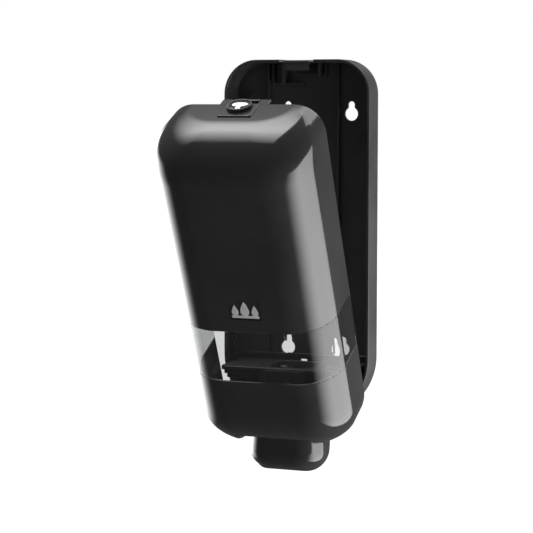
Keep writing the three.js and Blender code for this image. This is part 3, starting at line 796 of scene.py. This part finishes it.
def back_plate():
    inset = 1.6
    outline = rounded_panel(-HALF + inset, HALF - inset, -PLATE_TOP + inset, PLATE_TOP - inset,
                            PLATE_BOTTOM_RADIUS - inset, PLATE_TOP_RADIUS - inset, 20)
    holes = [keyhole(x, z) for x, z in KEYHOLES] + [rounded_panel(*DRAIN_SLOT, 0.4, 0.4, 3)]
    floor = holed_plate(outline, holes, 0, WALL, FRONTAL, edge=0.25)
    deep = -WALL + 0.2
    top = PLATE_TOP - 2
    ribs = mirrored(RIB_X - 0.8, RIB_X + 0.8, -WALL - 3, deep, RIB_LOW, top, edge=0.3, radius=0.4)

    def upright(x, thickness, height, low):
        return block(x - thickness / 2, x + thickness / 2, -WALL - height, deep, low, top)

    pocket = [upright(-14, 2, 9, POCKET_LOW), upright(14, 2, 9, POCKET_RIGHT_LOW),
              upright(-23, 1.6, 4, POCKET_LOW + 1), upright(17.5, 1.4, 4, POCKET_RIGHT_LOW),
              block(-20, 0, -WALL - 4, deep, POCKET_LOW, POCKET_LOW + 1.5),
              block(-4, 11, -WALL - 1, deep, 121.4, 122)]
    catch = block(-CATCH_HALF, CATCH_HALF, -19.5, -17, 123.5, PLATE_TOP - 1.5, edge=0.4)
    ledge = block(-SHELF_HALF, SHELF_HALF, -WALL - 1.5, deep, -87, -85.6)
    lugs = mirrored(EAR_OUTER + 0.6, LUG_OUTER, LUG_FRONT, deep, LUG_LOW, LUG_HIGH, edge=0.5, radius=2)
    gusset = [(-46, 101), (-37.5, 108.5), (-36.6, 107.4), (-45.1, 99.9)]
    corner_rib = prism(gusset[::-1], WALL - 0.2, WALL + 2.5, FRONTAL, edge=0.2)
    room_half = RING_RADIUS + 1.3
    ring_room = block(-room_half, room_half, -40, LOCK_Y + RING_RADIUS + 0.8,
                      PLATE_TOP - WALL - 1, PLATE_TOP + 1)
    edge = carve(rim().mesh("rim"), [ring_room])
    whole = total(floor, ribs, pocket, catch, ledge, lugs, corner_rib)
    finish_piece("back_plate_skin", together(edge, whole.mesh("plate")), "back_plate")


def deck_outline(half, front, radius, rear):
    return (arc(-half + radius, front + radius, radius, 180, 270, 8)
            + arc(half - radius, front + radius, radius, 270, 360, 8) + [(half, rear), (-half, rear)])


def channel_outline(half, front, radius, rear, thick):
    """A wall that follows the shelf's front edge and both its ends."""
    inner = deck_outline(half - thick, front + thick, max(radius - thick, 0.6), rear)
    outer = deck_outline(half, front, radius, rear)
    return outer[:-1] + [inner[-2]] + inner[-3::-1] + [inner[-1]] + [outer[-1]]


def bottle_shelf():
    rear = -WALL - GAP
    neck = rounded_panel(-NECK_HALF, NECK_HALF, -41, -7, 14, 6, 12)
    outline = deck_outline(SHELF_HALF, SHELF_FRONT, SHELF_RADIUS, rear)
    deck = holed_plate(outline, [neck], SHELF_TOP - 3, SHELF_TOP, LEVEL, edge=0.5)
    steps = []
    for inset in (1.5, 3):
        path = channel_outline(SHELF_HALF - inset, SHELF_FRONT + inset, SHELF_RADIUS, rear, WALL)
        high = SHELF_TOP + 1 - 2 * inset
        steps.append(prism(path, high - 4, high, LEVEL, edge=0.4))
    flange = block(-25.5, 25.5, rear - WALL, rear, -118, SHELF_TOP - 1)
    lugs = mirrored(17, 20, PIVOT.y - 4, PIVOT.y + 5, PIVOT.z - 5, SHELF_TOP - 1, edge=0.4, radius=0.8)
    tabs = mirrored(8, 18, -16, -5, -98, -95.5)
    collar = holed_plate(inset_outline(neck, -1.6), [inset_outline(neck, 0.02)],
                         SHELF_TOP - 7, SHELF_TOP - 0.6, LEVEL, edge=0.4)
    whole = total(deck, steps, flange, lugs, tabs, collar)
    finish_piece("bottle_shelf_skin", whole.mesh("shelf"), "bottle_shelf")


# ---------------------------------------------------------------- push bar and pump lifter
BAR = {"top": -92.0, "bottom": -166.5, "half_top": 25.0, "half_bottom": 28.4, "front_top": -50.5,
       "front_bottom": -55.3, "rear": -21.0, "rear_rise": 32.0, "rear_reach": 17.0, "front_radius": 15.0,
       "side_rise": 14.0, "side_reach": 11.0, "corner": 17.0, "wall": 2.2}


def bar_section(z, inset):
    share = min(max((BAR["top"] - z) / (BAR["top"] - BAR["bottom"]), 0), 1)
    bottom = BAR["bottom"] + inset
    half = BAR["half_top"] + (BAR["half_bottom"] - BAR["half_top"]) * share - inset
    rise = BAR["side_rise"] - inset
    half -= rounding(rise, bottom + rise - z, BAR["side_reach"] - inset)
    front = BAR["front_top"] + (BAR["front_bottom"] - BAR["front_top"]) * share + inset
    front += rounding(BAR["front_radius"] - inset, bottom + BAR["front_radius"] - inset - z)
    rear = BAR["rear"] - rounding(BAR["rear_rise"], BAR["bottom"] + BAR["rear_rise"] - z, BAR["rear_reach"])
    return half, front, rear, min(BAR["corner"] - inset, half * 0.9, (rear - front) * 0.9)


def push_bar():
    wall = BAR["wall"]
    levels = closed_end(BAR["bottom"], -1, BAR["rear_rise"], wall, steps=44)[::-1]
    levels += straight(BAR["bottom"] + BAR["rear_rise"] + 1, BAR["top"] - 1, wall, 6)
    levels += seam(BAR["top"], -1, wall)[::-1]
    shell = hooded_shell(levels, bar_section, wall, steps=18, lid_below=True)
    room = [(-47.9, -103.5), (-42, -103.5), (-22, -112), (0, -113), (0, -80), (-47.9, -80)]
    over_shelf = prism(room, -40, 40, SIDEWAYS, edge=0.01)
    nozzle = pin(8, (0, -33, -175), (0, -33, -150), sides=64)
    mesh = carve(shell.mesh("bar"), [over_shelf, nozzle])
    arms = mirrored(17, 26, -27, -21.2, -130.5, -127.5, edge=0.4, radius=0.8)
    bosses = [pin(3.6, (x - 2.1, PIVOT.y, PIVOT.z), (x + 2.1, PIVOT.y, PIVOT.z)) for x in (-22.5, 22.5)]
    finish_piece("push_bar_skin", together(mesh, total(arms, bosses).mesh("extras")), "push_bar")


def pump_yoke():
    fork = [(-9, -22)] + arc(0, -22, 9, 180, 0, 24)[1:-1] + [(9, -22)]
    outline = [(21, -6.6), (-21, -6.6), (-21, -38), (-9, -38)] + fork + [(9, -38), (21, -38)]
    plate = prism(outline, YOKE_TOP - 3, YOKE_TOP, LEVEL, edge=0.5)
    collars = []
    for x in (-POST_X, POST_X):
        outer = arc(x, POST_Y, 4.2, 0, 360, 40)[:-1]
        bore = arc(x, POST_Y, POST_RADIUS + GAP, 0, 360, 32)[:-1]
        collars.append(holed_plate(outer, [bore], YOKE_TOP - 6, YOKE_TOP - 0.4, LEVEL, edge=0.4))
    finish_piece("pump_yoke_fine", total(plate, collars).mesh("yoke"), "pump_yoke")


# ---------------------------------------------------------------- screws, pins, posts and springs
def build_shelf_screws():
    places = [(side * SHELF_SCREW_X, z) for z in SHELF_SCREW_HEIGHTS for side in (-1, 1)]
    for number, (x, z) in enumerate(places, 1):
        cross_screw(f"shelf_screw_{number}_fine", f"shelf_screw_{number}", (x, -5.6, z), (0, -1, 0),
                    1.3, 5.2, 3, 2)


def build_side_fixings(hand, side):
    """Hinge pin, guide post, return spring and housing screw of one side."""
    middle = side * PIN_MIDDLE
    hinge_pin = pin(PIN_RADIUS, (middle - PIN_HALF, HINGE.y, HINGE.z), (middle + PIN_HALF, HINGE.y, HINGE.z))
    finish_piece(f"hinge_pin_{hand}_fine", hinge_pin.mesh("pin"), f"hinge_pin_{hand}")
    x = side * POST_X
    post = total(pin(POST_RADIUS, (x, POST_Y, POST_LOW), (x, POST_Y, POST_HIGH)),
                 pin(3.2, (x, POST_Y, POST_HIGH - 0.2), (x, POST_Y, POST_HIGH + 0.8), edge=0.25))
    finish_piece(f"guide_post_{hand}_fine", post.mesh("post"), f"guide_post_{hand}")
    coil = spring(f"return_spring_{hand}_fine", f"return_spring_{hand}", 3.5, 0.55,
                  -122.6, -98.4, 6, x, POST_Y)
    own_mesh(coil)
    cross_screw(f"housing_screw_{hand}_fine", f"housing_screw_{hand}", (side * BOSS_X, BOSS_Y, 107.7),
                (0, 0, -1), 1, 18, 2.4, 1.8, tipped=True)


def pivot_rod():
    rod = pin(PIVOT_ROD_RADIUS, (-PIVOT_ROD_HALF, PIVOT.y, PIVOT.z), (PIVOT_ROD_HALF, PIVOT.y, PIVOT.z))
    finish_piece("pivot_rod_fine", rod.mesh("rod"), "pivot_rod")


def latch_spring():
    coil = spring("latch_spring_fine", "latch_spring", 2.9, 0.4, 110.3, 117.7, 4, 0, LOCK_Y, tipped=True)
    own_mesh(coil)


cover_shell()
window_band()
cover_chin()
badge()
lock_ring()
lock_barrel()
key_insert()
lock_housing()
latch()
back_plate()
bottle_shelf()
push_bar()
pump_yoke()
build_shelf_screws()
for hand_name, hand_side in (("left", -1), ("right", 1)):
    build_side_fixings(hand_name, hand_side)
pivot_rod()
latch_spring()


# ---------------------------------------------------------------- camera, light and floor
def make_camera():
    data = bpy.data.cameras.new("camera")
    data.sensor_width = 36
    data.lens = 119.9
    camera = bpy.data.objects.new("camera", data)
    bpy.context.scene.collection.objects.link(camera)
    camera.location = (0.4326, -1.2425, 0.1036)
    camera.rotation_mode = "QUATERNION"
    camera.rotation_quaternion = Vector((-0.3495, 0.9372, -0.0949)).to_track_quat("-Z", "Y")
    bpy.context.scene.camera = camera


def softbox(name, direction, distance, size, along, radiance, rise, rest=0.0, tail=1.0, ends=(0.01, 0.01)):
    """A rectangular light that faces the dispenser, with its width along the given direction.

    Along its width it stays at `rest` of its radiance, rises to full between the two shares in `rise`,
    and falls evenly to `tail` of it at the far end. Across, it fades in and out over the shares in `ends`.
    """
    data = bpy.data.lights.new(name, "AREA")
    data.shape = "RECTANGLE"
    data.size, data.size_y = size
    data.energy = math.pi * size[0] * size[1]
    data.use_nodes = True
    nodes, links = data.node_tree.nodes, data.node_tree.links
    place = nodes.new("ShaderNodeSeparateXYZ")
    links.new(nodes.new("ShaderNodeNewGeometry").outputs["Parametric"], place.inputs[0])

    def fade(axis, interpolation, start, end, low, high):
        ramp = nodes.new("ShaderNodeMapRange")
        ramp.interpolation_type = interpolation
        for key, value in (("From Min", start), ("From Max", end), ("To Min", low), ("To Max", high)):
            ramp.inputs[key].default_value = value
        links.new(place.outputs[axis], ramp.inputs["Value"])
        return ramp.outputs["Result"]

    def times(one, two):
        product = nodes.new("ShaderNodeMath")
        product.operation = "MULTIPLY"
        links.new(one, product.inputs[0])
        links.new(two, product.inputs[1])
        return product.outputs["Value"]

    width_fade = times(fade("X", "SMOOTHSTEP", *rise, rest * radiance, radiance),
                       fade("X", "LINEAR", rise[1], 1.0, 1.0, tail))
    height_fade = times(fade("Y", "SMOOTHSTEP", 0.0, ends[0], 0.0, 1.0),
                        fade("Y", "SMOOTHSTEP", 1.0 - ends[1], 1.0, 1.0, 0.0))
    links.new(times(width_fade, height_fade), nodes["Emission"].inputs["Strength"])
    light = bpy.data.objects.new(name, data)
    bpy.context.scene.collection.objects.link(light)
    back = Vector(direction).normalized()
    side = Vector(along)
    side = (side - back * side.dot(back)).normalized()
    turn = Matrix((side, back.cross(side), back)).transposed()
    light.matrix_world = Matrix.Translation(Vector((0, -0.08, 0)) + back * distance) @ turn.to_4x4()
    light.visible_camera = False
    light.visible_transmission = False


def make_world():
    """White paper to the eye and through the window, a dim grey room to everything that reflects."""
    world = bpy.data.worlds.new("studio")
    bpy.context.scene.world = world
    world.use_nodes = True
    nodes, links = world.node_tree.nodes, world.node_tree.links
    nodes.clear()
    path = nodes.new("ShaderNodeLightPath")
    room = nodes.new("ShaderNodeBackground")
    room.inputs["Color"].default_value = (0.12, 0.12, 0.121, 1)
    paper = nodes.new("ShaderNodeBackground")
    paper.inputs["Color"].default_value = (1, 1, 1, 1)
    mix = nodes.new("ShaderNodeMixShader")
    bounces = nodes.new("ShaderNodeMath")
    bounces.operation = "ADD"
    links.new(path.outputs["Glossy Depth"], bounces.inputs[0])
    links.new(path.outputs["Diffuse Depth"], bounces.inputs[1])
    straight_through = nodes.new("ShaderNodeMath")
    straight_through.operation = "LESS_THAN"
    straight_through.inputs[1].default_value = 0.5
    links.new(bounces.outputs["Value"], straight_through.inputs[0])
    links.new(straight_through.outputs["Value"], mix.inputs["Fac"])
    links.new(room.outputs["Background"], mix.inputs[1])
    links.new(paper.outputs["Background"], mix.inputs[2])
    out = nodes.new("ShaderNodeOutputWorld")
    links.new(mix.outputs["Shader"], out.inputs["Surface"])


make_camera()
make_world()
bpy.context.scene.view_settings.view_transform = "Standard"
softbox("right_box", (0.874, 0.18, -0.43), 1.0, (2.0, 1.0), (0.0, 0.9, 0.43), 6.6, (0.0, 0.45), tail=0.3)
softbox("top_box", (-0.32, 0.13, 0.94), 1.2, (2.0, 1.25), (0.0, -1.0, 0.0), 8.3, (0.17, 0.62),
        rest=0.02, tail=0.03, ends=(0.5, 0.01))
softbox("crown_box", (0.18, 0.62, 0.74), 1.3, (0.9, 0.8), (1.0, 0.0, 0.0), 2.6, (0.05, 0.5))
softbox("left_box", (-0.893, 0.343, -0.2), 1.2, (1.6, 1.35), (0.36, 0.93, 0.38), 5.6, (0.0, 0.58),
        ends=(0.3, 0.4))


def make_floor():
    """Plain white studio floor well below the dispenser. It glows, so that it stays even."""
    bpy.ops.mesh.primitive_grid_add(x_subdivisions=2, y_subdivisions=2, size=40, location=(0, 0, -1.7))
    floor = bpy.context.active_object
    floor.name = "studio_floor"
    floor.data.materials.append(MATERIALS["studio_floor"])
    floor.visible_glossy = False
    floor.visible_diffuse = False
    floor.visible_transmission = False


make_floor()
